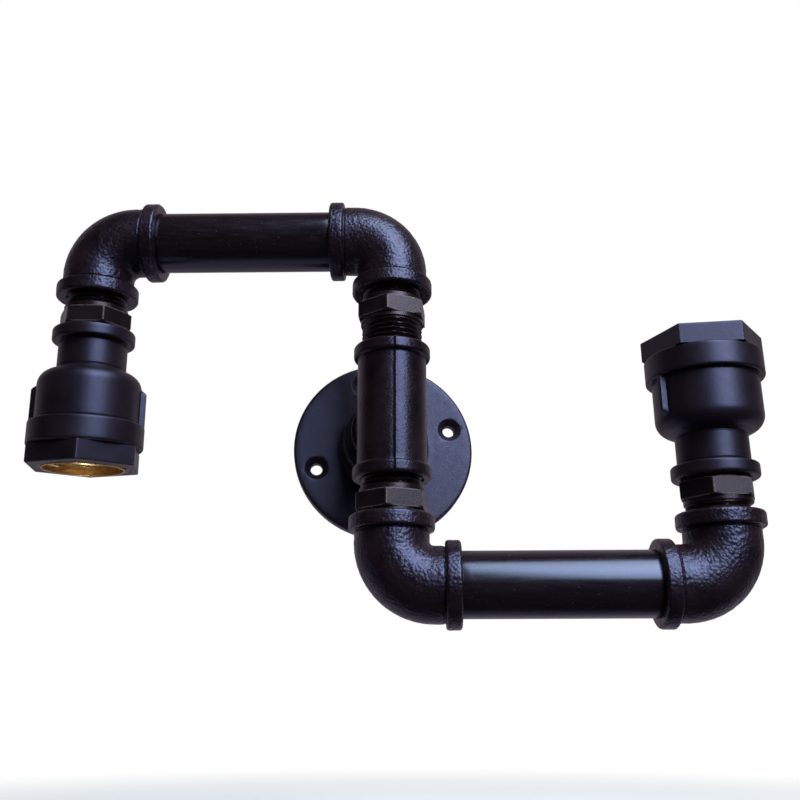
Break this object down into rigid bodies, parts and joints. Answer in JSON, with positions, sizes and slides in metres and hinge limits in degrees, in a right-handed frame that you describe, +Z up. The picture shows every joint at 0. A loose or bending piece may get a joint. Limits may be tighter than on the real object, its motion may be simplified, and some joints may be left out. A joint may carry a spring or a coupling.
{
  "type": "wall light",
  "caption": "Swing-arm wall light of threaded pipe fittings: wall flange, tee and arms that turn, each ending in a reducing cup with a screw lampholder.",
  "frame": {"origin": "centre of the screw circle on the wall flange's back face, in the wall's plane", "axes": "+X to the right as the lamp is seen, +Y into the wall, +Z up"},
  "size_m": [0.2484, 0.0818, 0.1512],
  "materials": {
    "flange_cast": "satin black paint over a fine cast skin",
    "fitting_cast": "gloss black paint over a pebbled cast skin",
    "cup_cast": "satin black paint over a smooth cast skin",
    "pipe_paint": "satin black paint on smooth tube",
    "nipple_paint": "satin black paint on turned steel",
    "shell_brass": "rolled brass sheet",
    "contact_bronze": "spring bronze strip",
    "terminal_brass": "turned brass",
    "rivet_steel": "zinc plated steel",
    "holder_insulator": "unglazed ceramic body",
    "ring_insulator": "dark moulded plastic",
    "sleeve_insulator": "pressed fibre tube",
    "cable_jacket": "round flexible sheath",
    "core_sheath": "core insulation",
    "splice_cover": "shrunk sleeve"
  },
  "bodies": {
    "wall_side": {"wall_flange": "flange_cast", "flange_nipple": "nipple_paint", "feed_cable": "cable_jacket"},
    "tee_group": {"tee": "fitting_cast", "tee_feed": "cable_jacket", "splice_sleeve": "splice_cover", "tee_lead_upper": "cable_jacket", "tee_lead_lower": "cable_jacket"},
    "upper_arm": {"upper_inner_elbow": "fitting_cast", "upper_arm_nipple": "nipple_paint", "upper_pipe": "pipe_paint", "upper_arm_cable": "cable_jacket"},
    "upper_head": {"upper_outer_elbow": "fitting_cast", "upper_head_nipple": "nipple_paint", "upper_cup": "cup_cast", "upper_holder_base": "holder_insulator", "upper_screw_shell": "shell_brass", "upper_insulating_sleeve": "sleeve_insulator", "upper_retaining_ring": "ring_insulator", "upper_centre_contact": "contact_bronze", "upper_live_terminal": "terminal_brass", "upper_neutral_terminal": "terminal_brass", "upper_terminal_screws": "rivet_steel", "upper_contact_rivets": "rivet_steel", "upper_head_cable": "cable_jacket", "upper_core_wires": "core_sheath"},
    "lower_arm": {"lower_inner_elbow": "fitting_cast", "lower_arm_nipple": "nipple_paint", "lower_pipe": "pipe_paint", "lower_arm_cable": "cable_jacket"},
    "lower_head": {"lower_outer_elbow": "fitting_cast", "lower_head_nipple": "nipple_paint", "lower_cup": "cup_cast", "lower_holder_base": "holder_insulator", "lower_screw_shell": "shell_brass", "lower_insulating_sleeve": "sleeve_insulator", "lower_retaining_ring": "ring_insulator", "lower_centre_contact": "contact_bronze", "lower_live_terminal": "terminal_brass", "lower_neutral_terminal": "terminal_brass", "lower_terminal_screws": "rivet_steel", "lower_contact_rivets": "rivet_steel", "lower_head_cable": "cable_jacket", "lower_core_wires": "core_sheath"}
  },
  "joints": [
    {"name": "lamp_turn", "type": "hinge", "parent": "wall_side", "child": "tee_group", "pos_m": [0, 0, 0], "axis": [0, 1, 0], "range_deg": [-90, 90]},
    {"name": "upper_arm_swing", "type": "hinge", "parent": "tee_group", "child": "upper_arm", "pos_m": [0, -0.0491, 0], "axis": [0, 0, 1], "range_deg": [-2, 65]},
    {"name": "lower_arm_swing", "type": "hinge", "parent": "tee_group", "child": "lower_arm", "pos_m": [0, -0.0491, 0], "axis": [0, 0, -1], "range_deg": [-10, 60]},
    {"name": "upper_head_tilt", "type": "hinge", "parent": "upper_arm", "child": "upper_head", "pos_m": [0, -0.0491, 0.0656], "axis": [-0.9954, 0.0958, 0], "range_deg": [-3, 180]},
    {"name": "lower_head_tilt", "type": "hinge", "parent": "lower_arm", "child": "lower_head", "pos_m": [0, -0.0491, -0.0574], "axis": [0.9942, -0.108, 0], "range_deg": [-10, 180]}
  ]
}
